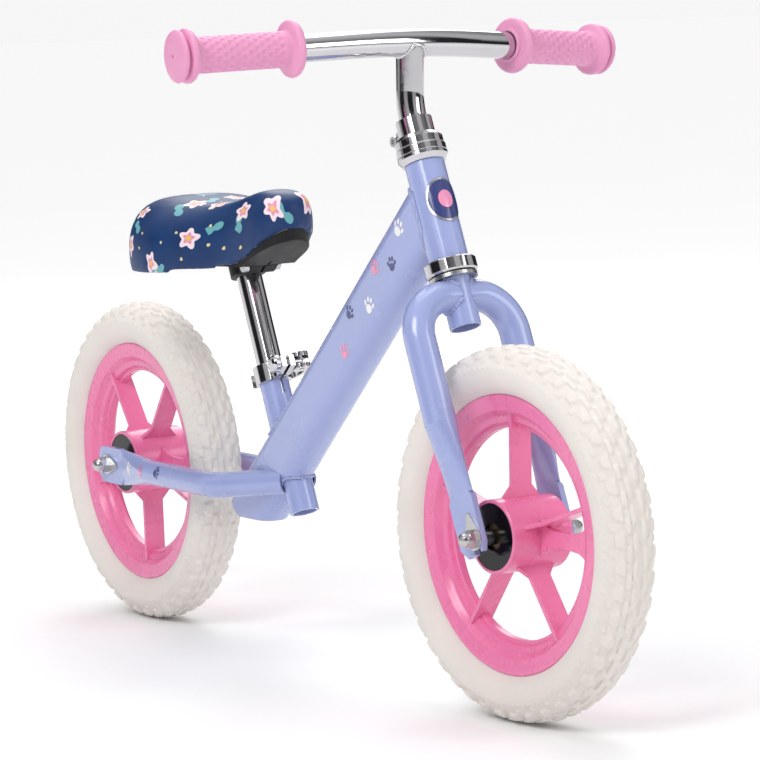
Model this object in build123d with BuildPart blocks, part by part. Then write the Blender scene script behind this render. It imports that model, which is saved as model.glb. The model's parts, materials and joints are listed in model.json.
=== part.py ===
from build123d import *
import math
import os

os.makedirs("parts", exist_ok=True)

# Child's balance bike, 12-inch foam wheels. Millimetres, +X forward, +Y to the
# rider's left, +Z up. The origin is on the ground, midway between the axles, in
# the frame's own middle plane.

# ------------------------------------------------------------ driving dimensions
WHEELBASE = 610.0
WHEEL_R = 145.0            # 290 mm over the tread
TYRE_W = 47.0
RIM_EDGE_R = 107.4         # outer edge of the moulded rim
RIM_EDGE_Y = 14.2
WINDOW_R = 82.0            # outer radius of the five windows
HUB_R = 28.6
HUB_HALF = 28.2
AXLE_R = 4.0               # M8 axle
PLATE_IN = 39.5            # inner face of the dropouts, from the middle plane
PLATE_OUT = 44.5
CLEAR = 0.05               # radial running clearance

HEAD_ANGLE = 67.8          # from the horizontal
HEAD_BOTTOM = (217.3, 0.0, 349.0)
HEAD_LEN = 82.0
HEAD_TUBE_R = 15.9
STEER_REST = 4.2           # the bars stand turned slightly to the left
STEERER_R = 12.7           # 1-inch steerer
STEERER_BORE_R = 11.15
STEM_R = 11.1              # 22.2 mm bar, stem and seat post
WALL = 1.6

FRONT_AXLE_X = 4.05        # in the steering frame
FRONT_AXLE_Z = -222.0

BLADE_R = 12.7
BLADE_Y = 46.0
CROWN_Z = -27.8
CROWN_BEND = 33.0

MAIN_ANGLE = 41.5
MAIN_POINT = (201.0, 0.0, 390.9)
MAIN_H = 54.0
MAIN_W = 33.0
MAIN_CORNER = 15.0
MAIN_WALL = 1.6
MAIN_BOTTOM_Z = 113.5
MAIN_REAR_X = -137.5

SEAT_ANGLE = 68.0
SEAT_TOP = (-74.1, 0.0, 246.0)
SEAT_TUBE_R = 12.7
SEAT_TUBE_LEN = 129.5
SEAT_POST_IN = 62.0
LOWER_BORE_R = 10.2
LOWER_BORE_LEN = 20.0

STAY_R = 11.1
STAY_Y = 41.5

STEM_BEND_START = 118.2
STEM_BEND_R = 60.0
STEM_BEND = 23.6
STEM_INSERT = 80.0         # length of stem below the bend, inside the steerer
BAR_Z = 176.5
BAR_HALF = 203.0
BAR_ARC_HALF = 64.0
BAR_SWEEP = 7.0

# ------------------------------------------------------------ reference frames
_ha, _sa, _ma = (math.radians(a) for a in (HEAD_ANGLE, SEAT_ANGLE, MAIN_ANGLE))
HEAD = Plane(
    origin=HEAD_BOTTOM,
    x_dir=(math.sin(_ha), 0, math.cos(_ha)),
    z_dir=(-math.cos(_ha), 0, math.sin(_ha)),
)
_st = math.radians(STEER_REST)
STEER = Plane(
    origin=HEAD_BOTTOM,
    x_dir=HEAD.x_dir * math.cos(_st) + HEAD.y_dir * math.sin(_st),
    z_dir=HEAD.z_dir,
)
SEAT = Plane(
    origin=SEAT_TOP,
    x_dir=(math.sin(_sa), 0, math.cos(_sa)),
    z_dir=(-math.cos(_sa), 0, math.sin(_sa)),
)
MAIN = Plane(
    origin=MAIN_POINT,
    x_dir=(-math.sin(_ma), 0, math.cos(_ma)),
    z_dir=(math.cos(_ma), 0, math.sin(_ma)),
)


def turned(frame, v):
    """A direction given in a frame, as a direction in the row frame."""
    return frame.x_dir * v[0] + frame.y_dir * v[1] + frame.z_dir * v[2]


def at(frame, v):
    """A point given in a frame, as a point in the row frame."""
    return frame.origin + turned(frame, v)


def plane_at(frame, origin, x_dir=(1, 0, 0), z_dir=(0, 0, 1)):
    """A plane placed by coordinates of another frame."""
    return Plane(origin=at(frame, origin), x_dir=turned(frame, x_dir), z_dir=turned(frame, z_dir))


def radial(frame):
    """The plane whose x is the frame's x and whose y is the frame's own axis."""
    return Plane(origin=frame.origin, x_dir=frame.x_dir, z_dir=-frame.y_dir)


AXLE_DIR = STEER.y_dir
REAR_WHEEL = Plane(origin=(-WHEELBASE / 2, 0, WHEEL_R), x_dir=(1, 0, 0), z_dir=(0, 1, 0))
FRONT_WHEEL = Plane(
    origin=at(STEER, (FRONT_AXLE_X, 0, FRONT_AXLE_Z)),
    x_dir=(AXLE_DIR.Y, -AXLE_DIR.X, 0),
    z_dir=AXLE_DIR,
)
REAR_DROP = Plane(origin=(-WHEELBASE / 2, 0, WHEEL_R), x_dir=(1, 0, 0), z_dir=(0, 0, 1))
FRONT_DROP = plane_at(STEER, (FRONT_AXLE_X, 0, FRONT_AXLE_Z))


# ------------------------------------------------------------ frame: main tube
# Flat-oval tube from the head tube down to the rear; its lower end is closed.
with BuildPart() as main_outer:
    with BuildSketch(MAIN.offset(-420.0)):
        RectangleRounded(MAIN_H, MAIN_W, MAIN_CORNER)
    extrude(amount=430.0)
    split(bisect_by=Plane(origin=(0, 0, MAIN_BOTTOM_Z), z_dir=(0, 0, 1)), keep=Keep.TOP)
    split(bisect_by=Plane(origin=(MAIN_REAR_X, 0, 0), z_dir=(1, 0, 0)), keep=Keep.TOP)
    fillet(main_outer.edges().group_by(Axis.Z)[0], 5.0)
    # the tube stops half way round the head tube
    split(
        bisect_by=Plane(origin=at(HEAD, (-1.5, 0, 0)), x_dir=(0, 1, 0), z_dir=-HEAD.x_dir),
        keep=Keep.TOP,
    )

with BuildPart() as main_cavity:
    with BuildSketch(MAIN.offset(-420.0)):
        RectangleRounded(
            MAIN_H - 2 * MAIN_WALL, MAIN_W - 2 * MAIN_WALL, MAIN_CORNER - MAIN_WALL
        )
    extrude(amount=425.0)
    split(bisect_by=Plane(origin=(0, 0, MAIN_BOTTOM_Z + 3), z_dir=(0, 0, 1)), keep=Keep.TOP)
    split(bisect_by=Plane(origin=(MAIN_REAR_X + 3, 0, 0), z_dir=(1, 0, 0)), keep=Keep.TOP)

with BuildPart() as main_tube:
    add(main_outer.part)
    add(main_cavity.part, mode=Mode.SUBTRACT)
    # mitre against the head tube
    with BuildSketch(HEAD.offset(-40)):
        Circle(HEAD_TUBE_R)
    extrude(amount=170, mode=Mode.SUBTRACT)
    # hole for the seat tube, which runs right through
    with BuildSketch(SEAT.offset(-SEAT_TUBE_LEN - 20)):
        Circle(SEAT_TUBE_R)
    extrude(amount=SEAT_TUBE_LEN + 60, mode=Mode.SUBTRACT)
    # vent hole in the closed lower end
    with BuildSketch(Plane(origin=(MAIN_REAR_X - 5, -8.0, 124.0), x_dir=(0, -1, 0), z_dir=(1, 0, 0))):
        Circle(3.0)
    extrude(amount=12, mode=Mode.SUBTRACT)
main_tube.part.label = "main_tube"
export_step(main_tube.part, "parts/main_tube.step")

# ------------------------------------------------------------ frame: head tube
with BuildPart() as head_tube:
    with BuildSketch(HEAD):
        Circle(HEAD_TUBE_R)
        Circle(HEAD_TUBE_R - 2.3, mode=Mode.SUBTRACT)
    extrude(amount=HEAD_LEN)
head_tube.part.label = "head_tube"
export_step(head_tube.part, "parts/head_tube.step")

# ------------------------------------------------------------ frame: seat tube
with BuildPart() as seat_tube:
    with BuildSketch(SEAT.offset(-SEAT_TUBE_LEN)):
        Circle(SEAT_TUBE_R)
        Circle(STEM_R + CLEAR, mode=Mode.SUBTRACT)
    extrude(amount=SEAT_TUBE_LEN)
    # the open lower end is left narrower, so that the post cannot drop through
    with BuildSketch(SEAT.offset(-SEAT_TUBE_LEN)):
        Circle(STEM_R + 0.5)
        Circle(LOWER_BORE_R, mode=Mode.SUBTRACT)
    extrude(amount=LOWER_BORE_LEN)
    # clamping slot at the front, closed below by a round hole
    with BuildSketch(plane_at(SEAT, (0, 0, 0), x_dir=(0, 1, 0), z_dir=(1, 0, 0))):
        with Locations((0, 5 - 15)):
            Rectangle(2.2, 30)
        with Locations((0, -25)):
            Circle(2.0)
    extrude(amount=SEAT_TUBE_R + 4, mode=Mode.SUBTRACT)
seat_tube.part.label = "seat_tube"
export_step(seat_tube.part, "parts/seat_tube.step")

# ------------------------------------------------------------ frame: chainstays
for side, s in (("right", -1.0), ("left", 1.0)):
    with BuildPart() as chainstay:
        with BuildLine() as stay_path:
            FilletPolyline(
                (-223.0, s * STAY_Y, WHEEL_R),
                (-108.0, s * STAY_Y, WHEEL_R),
                (-40.0, s * 8.0, WHEEL_R + 7.0),
                radius=45.0,
            )
        _start = Plane(origin=stay_path.line @ 0, z_dir=stay_path.line % 0)
        with BuildSketch(_start):
            Circle(STAY_R)
            Circle(STAY_R - WALL, mode=Mode.SUBTRACT)
        sweep(path=stay_path.line)
        # the end is pressed flat into a dropout plate
        _flat = Plane(
            origin=(-277.0, s * (PLATE_IN + PLATE_OUT) / 2, WHEEL_R - 0.4),
            x_dir=(0, 0, 1),
            z_dir=(1, 0, 0),
        )
        _round = Plane(
            origin=(-223.0, s * STAY_Y, WHEEL_R), x_dir=(0, 0, 1), z_dir=(1, 0, 0)
        )
        with BuildSketch(_flat):
            Ellipse(16.4, (PLATE_OUT - PLATE_IN) / 2)
        with BuildSketch(_round):
            Circle(STAY_R)
        loft()
        with BuildSketch(Plane(origin=(0, s * PLATE_IN, 0), x_dir=(1, 0, 0), z_dir=(0, s, 0))):
            with BuildLine():
                _m = -s
                Polyline(
                    (-274.0, _m * (WHEEL_R - 12.0)),
                    (-280.0, _m * (WHEEL_R - 16.8)),
                    (-314.0, _m * (WHEEL_R - 16.4)),
                    (-320.0, _m * (WHEEL_R - 11.0)),
                    (-320.0, _m * (WHEEL_R + 11.0)),
                    (-314.0, _m * (WHEEL_R + 16.0)),
                    (-280.0, _m * (WHEEL_R + 16.0)),
                    (-274.0, _m * (WHEEL_R + 12.0)),
                    close=True,
                )
            make_face()
        extrude(amount=PLATE_OUT - PLATE_IN)
        # axle slot, open to the rear, and the small slot for the tab washer's hook
        with BuildSketch(Plane(origin=(0, s * (PLATE_IN - 3), 0), x_dir=(1, 0, 0), z_dir=(0, s, 0))):
            with Locations((-WHEELBASE / 2, _m * WHEEL_R)):
                Circle(AXLE_R + 0.15)
            with Locations((-WHEELBASE / 2 - 12, _m * WHEEL_R)):
                Rectangle(24.0, 2 * (AXLE_R + 0.15))
            with Locations((-WHEELBASE / 2 + 17.0, _m * WHEEL_R)):
                Rectangle(6.0, 3.4)
        extrude(amount=12, mode=Mode.SUBTRACT)
        # mitre against the main tube and the seat tube
        add(main_outer.part, mode=Mode.SUBTRACT)
        with BuildSketch(SEAT.offset(-SEAT_TUBE_LEN - 20)):
            Circle(SEAT_TUBE_R)
        extrude(amount=SEAT_TUBE_LEN + 20, mode=Mode.SUBTRACT)
    chainstay.part.label = f"chainstay_{side}"
    export_step(chainstay.part, f"parts/chainstay_{side}.step")

# ------------------------------------------------------------ headset
with BuildPart() as head_cup_lower:
    with BuildSketch(radial(HEAD)):
        with BuildLine():
            Polyline(
                (13.05, 8), (13.55, 8), (13.55, -0.05), (20.2, -0.05), (21.0, -0.9),
                (21.0, -9.6), (20.0, -11.0), (18.8, -11.0), (18.8, -4.0), (13.05, -4.0),
                close=True,
            )
        make_face()
    revolve(axis=Axis(HEAD.origin, HEAD.z_dir))
head_cup_lower.part.label = "head_cup_lower"
export_step(head_cup_lower.part, "parts/head_cup_lower.step")

with BuildPart() as head_cup_upper:
    with BuildSketch(radial(HEAD)):
        with BuildLine():
            Polyline(
                (13.05, 74), (13.55, 74), (13.55, 82.05), (17.4, 82.05), (20.3, 86.2),
                (20.3, 88.5), (18.4, 88.5), (18.4, 84.6), (13.05, 84.6),
                close=True,
            )
        make_face()
    revolve(axis=Axis(HEAD.origin, HEAD.z_dir))
head_cup_upper.part.label = "head_cup_upper"
export_step(head_cup_upper.part, "parts/head_cup_upper.step")

for name, z in (("head_balls_lower", -6.7), ("head_balls_upper", 86.7)):
    with BuildPart(plane_at(HEAD, (0, 0, z))) as balls:
        with PolarLocations(16.3, 18):
            Sphere(1.98)
        Torus(16.3, 0.6)
    balls.part.label = name
    export_step(balls.part, f"parts/{name}.step")

with BuildPart() as crown_race:
    with BuildSketch(radial(STEER)):
        with BuildLine():
            Polyline(
                (12.75, -15.0), (19.4, -15.0), (19.4, -12.2), (18.4, -11.4), (15.5, -11.4),
                (14.0, -8.9), (12.75, -8.9),
                close=True,
            )
        make_face()
    revolve(axis=Axis(STEER.origin, STEER.z_dir))
crown_race.part.label = "crown_race"
export_step(crown_race.part, "parts/crown_race.step")

with BuildPart() as adjusting_race:
    with BuildSketch(radial(STEER)):
        with BuildLine():
            Polyline(
                (12.75, 86.4), (13.5, 86.4), (15.1, 88.9), (19.6, 88.9), (20.1, 89.4),
                (20.1, 94.6), (19.6, 95.1), (12.75, 95.1),
                close=True,
            )
        make_face()
    revolve(axis=Axis(STEER.origin, STEER.z_dir))
adjusting_race.part.label = "adjusting_race"
export_step(adjusting_race.part, "parts/adjusting_race.step")

with BuildPart() as lock_nut:
    with BuildSketch(radial(STEER)):
        with BuildLine():
            Polyline(
                (12.75, 95.2), (18.9, 95.2), (19.3, 95.6), (19.3, 101.6), (16.4, 104.9),
                (12.75, 104.9),
                close=True,
            )
        make_face()
    revolve(axis=Axis(STEER.origin, STEER.z_dir))
lock_nut.part.label = "lock_nut"
export_step(lock_nut.part, "parts/lock_nut.step")

# ------------------------------------------------------------ fork
with BuildPart() as steerer_tube:
    with BuildSketch(STEER.offset(-54.0)):
        Circle(STEERER_R)
        Circle(STEERER_BORE_R, mode=Mode.SUBTRACT)
    extrude(amount=54.0 + 117.9)
    # clamping slot at the back of the top end
    with BuildSketch(plane_at(STEER, (0, 0, 112.0), x_dir=(0, 1, 0), z_dir=(-1, 0, 0))):
        Rectangle(2.2, 14.0)
    extrude(amount=STEERER_R + 4, mode=Mode.SUBTRACT)
steerer_tube.part.label = "steerer_tube"
export_step(steerer_tube.part, "parts/steerer_tube.step")

for side, s in (("right", -1.0), ("left", 1.0)):
    with BuildPart() as blade:
        with BuildLine() as blade_path:
            FilletPolyline(
                at(STEER, (0, s * 4.0, CROWN_Z)),
                at(STEER, (0, s * BLADE_Y, CROWN_Z)),
                at(STEER, (0, s * BLADE_Y, -129.0)),
                radius=CROWN_BEND,
            )
        _start = Plane(origin=blade_path.line @ 0, x_dir=STEER.x_dir, z_dir=blade_path.line % 0)
        with BuildSketch(_start):
            Circle(BLADE_R)
            Circle(BLADE_R - WALL, mode=Mode.SUBTRACT)
        sweep(path=blade_path.line)
        # the lower end is pressed flat into a dropout plate
        with BuildSketch(plane_at(STEER, (-2.0, s * (PLATE_IN + PLATE_OUT) / 2, -186.0))):
            Ellipse(15.2, (PLATE_OUT - PLATE_IN) / 2)
        with BuildSketch(plane_at(STEER, (0, s * BLADE_Y, -129.0))):
            Circle(BLADE_R)
        loft()
        _plate = plane_at(STEER, (0, s * PLATE_IN, 0), x_dir=(1, 0, 0), z_dir=(0, s, 0))
        _m = -s
        with BuildSketch(_plate):
            with BuildLine():
                Polyline(
                    (-12.0, _m * -183.0),
                    (8.0, _m * -183.0),
                    (13.0, _m * -189.0),
                    (13.0, _m * -226.0),
                    (9.5, _m * -233.0),
                    (-9.0, _m * -234.5),
                    (-17.0, _m * -226.0),
                    (-17.0, _m * -189.0),
                    close=True,
                )
            make_face()
        extrude(amount=PLATE_OUT - PLATE_IN)
        with BuildSketch(plane_at(STEER, (0, s * (PLATE_IN - 3), 0), x_dir=(1, 0, 0), z_dir=(0, s, 0))):
            with Locations((FRONT_AXLE_X, _m * FRONT_AXLE_Z)):
                Circle(AXLE_R + 0.15)
            with Locations((FRONT_AXLE_X, _m * (FRONT_AXLE_Z - 10))):
                Rectangle(2 * (AXLE_R + 0.15), 20.0)
            with Locations((FRONT_AXLE_X, _m * (FRONT_AXLE_Z + 17.0))):
                Rectangle(3.4, 6.0)
        extrude(amount=12, mode=Mode.SUBTRACT)
        # mitre against the steerer
        with BuildSketch(STEER.offset(-90.0)):
            Circle(STEERER_R)
        extrude(amount=140, mode=Mode.SUBTRACT)
        with BuildSketch(plane_at(STEER, (0, 0, CROWN_Z), x_dir=(1, 0, 0), z_dir=(0, -s, 0))):
            Rectangle(40, 40)
        extrude(amount=20, mode=Mode.SUBTRACT)
    blade.part.label = f"fork_blade_{side}"
    export_step(blade.part, f"parts/fork_blade_{side}.step")

# ------------------------------------------------------------ stem clamp
with BuildPart() as stem_clamp:
    with BuildSketch(STEER.offset(105.0)):
        Circle(14.6)
        Circle(STEERER_R + CLEAR, mode=Mode.SUBTRACT)
    extrude(amount=14.0)
    # two pinch ears behind the collar
    with BuildSketch(plane_at(STEER, (0, 4.4, 0), x_dir=(1, 0, 0), z_dir=(0, -1, 0))) as ears:
        with BuildLine():
            Polyline(
                (-13.4, 105.0), (-26.5, 105.0), (-27.5, 107.9), (-26.0, 111.4), (-15.5, 119.0),
                (-13.4, 119.0),
                close=True,
            )
        make_face()
    extrude(amount=8.8)
    with BuildSketch(plane_at(STEER, (0, 0, 112.0), x_dir=(0, 1, 0), z_dir=(-1, 0, 0))):
        Rectangle(2.2, 20.0)
    extrude(amount=34, mode=Mode.SUBTRACT)
    with BuildSketch(plane_at(STEER, (-21.5, -10, 109.6), x_dir=(1, 0, 0), z_dir=(0, 1, 0))):
        Circle(2.6)
    extrude(amount=20, mode=Mode.SUBTRACT)
stem_clamp.part.label = "stem_clamp"
export_step(stem_clamp.part, "parts/stem_clamp.step")

_bolt = plane_at(STEER, (-21.5, 0, 109.6), x_dir=(1, 0, 0), z_dir=(0, 1, 0))
with BuildPart() as stem_clamp_bolt:
    with BuildSketch(_bolt.offset(-8.6)):
        Circle(4.2)
        RegularPolygon(2.3, 6, mode=Mode.SUBTRACT)
    extrude(amount=2.2)
    with BuildSketch(_bolt.offset(-6.4)):
        Circle(4.2)
    extrude(amount=1.9)
    with BuildSketch(_bolt.offset(-4.6)):
        Circle(2.5)
    extrude(amount=13.6)
stem_clamp_bolt.part.label = "stem_clamp_bolt"
export_step(stem_clamp_bolt.part, "parts/stem_clamp_bolt.step")

with BuildPart() as stem_clamp_nut:
    with BuildSketch(_bolt.offset(4.5)):
        RegularPolygon(4.6, 6)
        Circle(2.55, mode=Mode.SUBTRACT)
    extrude(amount=4.0)
stem_clamp_nut.part.label = "stem_clamp_nut"
export_step(stem_clamp_nut.part, "parts/stem_clamp_nut.step")

# ------------------------------------------------------------ stem and handlebar
_bend = math.radians(STEM_BEND)
_stem_mid = (
    STEM_BEND_R * (1 - math.cos(_bend / 2)), 0, STEM_BEND_START + STEM_BEND_R * math.sin(_bend / 2),
)
_stem_end = (
    STEM_BEND_R * (1 - math.cos(_bend)), 0, STEM_BEND_START + STEM_BEND_R * math.sin(_bend),
)
_up = (BAR_Z - _stem_end[2]) / math.cos(_bend)
BAR_X = _stem_end[0] + _up * math.sin(_bend)
_sweep = math.radians(BAR_SWEEP)
_arc_r = BAR_ARC_HALF / math.sin(_sweep)
_arc_drop = _arc_r * (1 - math.cos(_sweep))


def bar_point(y):
    """A point of the handlebar's centre line in its straight, swept part."""
    return (
        BAR_X - _arc_drop - (abs(y) - BAR_ARC_HALF) * math.tan(_sweep),
        y,
        BAR_Z,
    )


with BuildPart() as handlebar:
    with BuildLine() as bar_path:
        Line(at(STEER, bar_point(-BAR_HALF)), at(STEER, bar_point(-BAR_ARC_HALF)))
        ThreePointArc(
            at(STEER, bar_point(-BAR_ARC_HALF)),
            at(STEER, (BAR_X, 0, BAR_Z)),
            at(STEER, bar_point(BAR_ARC_HALF)),
        )
        Line(at(STEER, bar_point(BAR_ARC_HALF)), at(STEER, bar_point(BAR_HALF)))
    with BuildSketch(Plane(origin=bar_path.line @ 0, x_dir=STEER.z_dir, z_dir=bar_path.line % 0)):
        Circle(STEM_R)
        Circle(STEM_R - WALL, mode=Mode.SUBTRACT)
    sweep(path=bar_path.line)
handlebar.part.label = "handlebar"
export_step(handlebar.part, "parts/handlebar.step")

with BuildPart() as bar_solid:
    with BuildSketch(Plane(origin=bar_path.line @ 0, x_dir=STEER.z_dir, z_dir=bar_path.line % 0)):
        Circle(STEM_R)
    sweep(path=bar_path.line)

with BuildPart() as stem_post:
    with BuildLine() as stem_path:
        Line(at(STEER, (0, 0, STEM_BEND_START - STEM_INSERT)), at(STEER, (0, 0, STEM_BEND_START)))
        ThreePointArc(
            at(STEER, (0, 0, STEM_BEND_START)), at(STEER, _stem_mid), at(STEER, _stem_end)
        )
        Line(at(STEER, _stem_end), at(STEER, (BAR_X, 0, BAR_Z)))
    with BuildSketch(STEER.offset(STEM_BEND_START - STEM_INSERT)):
        Circle(STEM_R)
        Circle(STEM_R - WALL, mode=Mode.SUBTRACT)
    sweep(path=stem_path.line)
    add(bar_solid.part, mode=Mode.SUBTRACT)
stem_post.part.label = "stem_post"
export_step(stem_post.part, "parts/stem_post.step")

GRIP_INNER_Y = 101.0
GRIP_LEN = 107.6
for side, s in (("right", -1.0), ("left", 1.0)):
    _grip = Plane(
        origin=at(STEER, bar_point(s * GRIP_INNER_Y)),
        x_dir=STEER.z_dir,
        z_dir=turned(STEER, (-math.sin(_sweep), s * math.cos(_sweep), 0)),
    )
    with BuildPart() as grip:
        with BuildSketch(radial(_grip)):
            with BuildLine():
                Polyline(
                    (11.2, 0), (13.2, 0), (13.8, 0.8), (13.8, 2.6), (19.6, 2.9), (21.4, 3.9),
                    (22.3, 5.8), (22.3, 7.4), (21.4, 9.3), (19.4, 10.4), (15.6, 11.4),
                    (14.4, 13.2), (14.2, 89.6), (14.8, 91.4), (18.6, 92.6), (20.5, 93.9),
                    (21.1, 95.6), (21.1, 96.6), (20.5, 98.2), (18.8, 99.2), (14.6, 99.8),
                    (14.6, 101.2), (18.4, 101.5), (20.0, 102.5), (20.5, 103.8), (19.6, 105.2),
                    (16.0, 106.4), (8.0, 107.3), (0, GRIP_LEN), (0, 104.0), (11.2, 104.0),
                    close=True,
                )
            make_face()
        revolve(axis=Axis(_grip.origin, _grip.z_dir))
        # small hole in the middle of the closed end
        with BuildSketch(_grip.offset(GRIP_LEN + 1)):
            Circle(1.0)
        extrude(amount=-2.6, mode=Mode.SUBTRACT)
    grip.part.label = f"grip_{side}"
    export_step(grip.part, f"parts/grip_{side}.step")

# ------------------------------------------------------------ wheels
for end, wheel, up in (("front", FRONT_WHEEL, -1.0), ("rear", REAR_WHEEL, 1.0)):
    _axis = Axis(wheel.origin, wheel.z_dir)

    # solid foam tyre, seated in the rim's channel
    with BuildPart() as tyre:
        with BuildSketch(radial(wheel)):
            with BuildLine():
                _half = [
                    (97.0, 8.0), (107.7, 12.0), (108.9, 15.2), (113.0, 19.4), (119.0, 22.4),
                    (126.0, TYRE_W / 2), (133.0, 22.8), (139.0, 20.0), (143.0, 15.5),
                    (144.6, 10.5), (WHEEL_R, 6.0),
                ]
                Polyline(*_half, *[(r, -y) for r, y in reversed(_half)], close=True)
            make_face()
        revolve(axis=_axis)
    tyre.part.label = f"{end}_tyre"
    export_step(tyre.part, f"parts/{end}_tyre.step")

    # one-piece plastic wheel: rim, five cross-section spokes, hub barrel
    with BuildPart() as moulding:
        with BuildSketch(radial(wheel)):
            with BuildLine():
                _half = [
                    (96.8, 8.1), (107.4, 12.2), (108.2, 13.4), (RIM_EDGE_R, RIM_EDGE_Y),
                    (105.0, 14.2), (95.5, 12.6), (93.0, 9.6), (91.2, 7.6), (86.5, 6.4),
                    (84.8, 3.4), (WINDOW_R, 3.0),
                ]
                Polyline(*_half, *[(r, -y) for r, y in reversed(_half)], close=True)
            make_face()
        revolve(axis=_axis)
        # hub barrel with recessed ends, a middle web and two bearing bosses
        with BuildSketch(radial(wheel)):
            with BuildLine():
                _half = [
                    (4.8, 2.5), (8.0, 2.5), (8.0, 17.8), (11.05, 17.8), (11.05, 25.2),
                    (14.2, 25.2), (14.2, 5.0), (24.6, 5.0), (24.6, 25.0), (25.9, 25.0),
                    (25.9, HUB_HALF), (27.9, HUB_HALF), (HUB_R, HUB_HALF - 0.7),
                ]
                Polyline(*_half, *[(r, -y) for r, y in reversed(_half)], close=True)
            make_face()
        revolve(axis=_axis)
        with BuildSketch(wheel.offset(-2.2)):
            with PolarLocations(0, 5, start_angle=up * 90.0):
                with BuildLine():
                    _edge = [(26.5, 14.0), (30.0, 10.6), (36.0, 8.2), (46.0, 6.8), (62.0, 6.4),
                             (73.0, 7.6), (79.0, 10.4), (83.6, 15.5)]
                    Polyline(*_edge, *[(r, -t) for r, t in reversed(_edge)], close=True)
                make_face()
        extrude(amount=4.4)
        with BuildSketch(wheel.offset(-9.5)):
            with PolarLocations(0, 5, start_angle=up * 90.0):
                with Locations((60.0, 0)):
                    Rectangle(67.0, 3.4)
        extrude(amount=19.0)
        # each axial rib deepens into a gusset at the hub
        for k in range(5):
            _a = math.radians(up * 90.0 + 72.0 * k)
            _ray = wheel.x_dir * math.cos(_a) + wheel.y_dir * math.sin(_a)
            _across = wheel.z_dir.cross(_ray)
            with BuildSketch(Plane(origin=wheel.origin - _across * 1.7, x_dir=_ray, z_dir=_across)):
                with BuildLine():
                    Polyline((27.0, -19.0), (38.0, -9.3), (38.0, 9.3), (27.0, 19.0), close=True)
                make_face()
            extrude(amount=3.4)
    moulding.part.label = f"{end}_wheel_moulding"
    export_step(moulding.part, f"parts/{end}_wheel_moulding.step")

    with BuildPart() as hub_caps:
        for s in (-1.0, 1.0):
            with BuildSketch(wheel.offset(s * 25.3)):
                Circle(25.7)
                Circle(10.6, mode=Mode.SUBTRACT)
            extrude(amount=s * 2.3)
    hub_caps.part.label = f"{end}_hub_caps"
    export_step(hub_caps.part, f"parts/{end}_hub_caps.step")

    with BuildPart() as bearings:
        for s in (-1.0, 1.0):
            with BuildSketch(wheel.offset(s * 18.0)):
                Circle(11.0)
                Circle(AXLE_R + CLEAR, mode=Mode.SUBTRACT)
            extrude(amount=s * 7.0)
            with BuildSketch(wheel.offset(s * 25.0)):
                Circle(9.3)
                Circle(6.2, mode=Mode.SUBTRACT)
            extrude(amount=-s * 0.6, mode=Mode.SUBTRACT)
    bearings.part.label = f"{end}_bearings"
    export_step(bearings.part, f"parts/{end}_bearings.step")

    with BuildPart() as axle:
        with BuildSketch(wheel.offset(-54.0)):
            Circle(AXLE_R)
        extrude(amount=108.0)
    axle.part.label = f"{end}_axle"
    export_step(axle.part, f"parts/{end}_axle.step")

    with BuildPart() as spacers:
        for s in (-1.0, 1.0):
            with BuildSketch(wheel.offset(s * 25.4)):
                Circle(6.0)
                Circle(AXLE_R + CLEAR, mode=Mode.SUBTRACT)
            extrude(amount=s * (PLATE_IN - 25.4))
    spacers.part.label = f"{end}_spacers"
    export_step(spacers.part, f"parts/{end}_spacers.step")

    # teardrop washers whose tab hooks into the dropout, away from the slot's mouth
    _tab = FRONT_DROP.z_dir if end == "front" else Vector(1, 0, 0)
    with BuildPart() as washers:
        for s in (-1.0, 1.0):
            _w = Plane(origin=wheel.origin + wheel.z_dir * (s * (PLATE_OUT + 0.05)),
                       x_dir=_tab, z_dir=wheel.z_dir * s)
            with BuildSketch(_w):
                with BuildLine():
                    Polyline((-6.0, -6.5), (4.0, -8.6), (15.0, -4.0), (20.0, -1.5), (20.0, 1.5),
                             (15.0, 4.0), (4.0, 8.6), (-6.0, 6.5), close=True)
                make_face()
                Circle(9.0)
                Circle(AXLE_R + CLEAR, mode=Mode.SUBTRACT)
            extrude(amount=1.4)
            with BuildSketch(_w):
                with Locations((17.8, 0)):
                    Rectangle(2.2, 2.8)
            extrude(amount=-3.0)
    washers.part.label = f"{end}_tab_washers"
    export_step(washers.part, f"parts/{end}_tab_washers.step")

    with BuildPart() as nuts:
        for s in (-1.0, 1.0):
            _n = Plane(origin=wheel.origin + wheel.z_dir * (s * (PLATE_OUT + 1.5)),
                       x_dir=wheel.x_dir, z_dir=wheel.z_dir * s)
            with BuildSketch(_n):
                RegularPolygon(7.5, 6)
            extrude(amount=6.2)
            with BuildSketch(radial(_n)):
                with BuildLine():
                    Polyline((0, 5.0), (5.9, 5.0), (5.9, 7.2), (5.5, 9.2), (4.4, 11.0),
                             (2.5, 12.3), (0, 12.7), close=True)
                make_face()
            revolve(axis=Axis(_n.origin, _n.z_dir))
            with BuildSketch(_n):
                Circle(AXLE_R + CLEAR)
            extrude(amount=9.0, mode=Mode.SUBTRACT)
    nuts.part.label = f"{end}_dome_nuts"
    export_step(nuts.part, f"parts/{end}_dome_nuts.step")

# ------------------------------------------------------------ seat post and its clamp
with BuildPart() as seat_post:
    with BuildSketch(SEAT.offset(-SEAT_POST_IN)):
        Circle(STEM_R)
        Circle(STEM_R - WALL, mode=Mode.SUBTRACT)
    extrude(amount=SEAT_POST_IN + 110)
    split(bisect_by=Plane(origin=(0, 0, 340.0), z_dir=(0, 0, -1)), keep=Keep.TOP)
seat_post.part.label = "seat_post"
export_step(seat_post.part, "parts/seat_post.step")

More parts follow.
